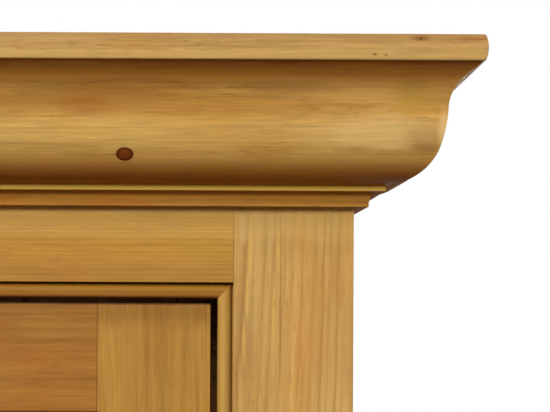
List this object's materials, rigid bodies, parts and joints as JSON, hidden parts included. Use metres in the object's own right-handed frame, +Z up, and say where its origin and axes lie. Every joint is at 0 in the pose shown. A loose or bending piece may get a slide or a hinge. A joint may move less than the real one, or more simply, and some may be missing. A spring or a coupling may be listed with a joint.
{
  "type": "china cabinet",
  "caption": "Free-standing pine china cabinet with glazed doors over drawers, a beaded face frame, a large crown cornice and a bracket-foot plinth.",
  "frame": {"origin": "centre of the bounding box's base, on the floor", "axes": "+Z up, -Y out of the front, +X to the right as seen from the front"},
  "size_m": [1.4064, 0.4932, 2.08],
  "materials": {
    "frame_pine": "waxed honey pine, satin",
    "moulded_pine": "waxed honey pine, satin",
    "inside_pine": "bare planed pine, matt",
    "turned_knob": "waxed turned pine, satin",
    "glass": "clear float glass",
    "hinge_brass": "aged brass, satin",
    "shelf_pin_steel": "zinc plated"
  },
  "bodies": {
    "root": {"left_side": "frame_pine", "right_side": "frame_pine", "cabinet_floor": "inside_pine", "drawer_deck": "inside_pine", "top_board": "moulded_pine", "back_boards": "inside_pine", "left_stile": "frame_pine", "right_stile": "frame_pine", "top_rail": "frame_pine", "waist_rail": "frame_pine", "bottom_rail": "frame_pine", "door_mullion": "frame_pine", "drawer_mullion": "frame_pine", "left_door_bead": "moulded_pine", "right_door_bead": "moulded_pine", "crown_front": "moulded_pine", "crown_left_return": "moulded_pine", "crown_right_return": "moulded_pine", "bed_mould_front": "moulded_pine", "bed_mould_left": "moulded_pine", "bed_mould_right": "moulded_pine", "plinth_front": "moulded_pine", "plinth_left": "moulded_pine", "plinth_right": "moulded_pine", "lower_shelf": "inside_pine", "middle_shelf": "inside_pine", "upper_shelf": "inside_pine", "shelf_pins": "shelf_pin_steel", "door_stop": "inside_pine", "drawer_runners": "inside_pine", "hinge_frame_leaves": "hinge_brass", "hinge_pins": "hinge_brass"},
    "left_door": {"left_door_hinge_stile": "frame_pine", "left_door_meeting_stile": "frame_pine", "left_door_top_rail": "frame_pine", "left_door_bottom_rail": "frame_pine", "left_door_glass": "glass", "left_door_glazing_bars": "frame_pine", "left_door_knob": "turned_knob", "left_door_hinge_leaves": "hinge_brass"},
    "left_drawer": {"left_drawer_front": "frame_pine", "left_drawer_left_side": "inside_pine", "left_drawer_right_side": "inside_pine", "left_drawer_back": "inside_pine", "left_drawer_bottom": "inside_pine", "left_drawer_knob": "turned_knob"},
    "right_door": {"right_door_hinge_stile": "frame_pine", "right_door_meeting_stile": "frame_pine", "right_door_top_rail": "frame_pine", "right_door_bottom_rail": "frame_pine", "right_door_glass": "glass", "right_door_glazing_bars": "frame_pine", "right_door_knob": "turned_knob", "right_door_hinge_leaves": "hinge_brass"},
    "right_drawer": {"right_drawer_front": "frame_pine", "right_drawer_left_side": "inside_pine", "right_drawer_right_side": "inside_pine", "right_drawer_back": "inside_pine", "right_drawer_bottom": "inside_pine", "right_drawer_knob": "turned_knob"}
  },
  "joints": [
    {"name": "left_door_hinge", "type": "hinge", "parent": "root", "child": "left_door", "pos_m": [-0.5065, -0.1574, 1.1], "axis": [0, 0, -1], "range_deg": [0, 170]},
    {"name": "right_door_hinge", "type": "hinge", "parent": "root", "child": "right_door", "pos_m": [0.5065, -0.1574, 1.1], "axis": [0, 0, 1], "range_deg": [0, 170]},
    {"name": "left_drawer_slide", "type": "slide", "parent": "root", "child": "left_drawer", "axis": [0, -1, 0], "range_m": [0, 0.27]},
    {"name": "right_drawer_slide", "type": "slide", "parent": "root", "child": "right_drawer", "axis": [0, -1, 0], "range_m": [0, 0.27]}
  ]
}
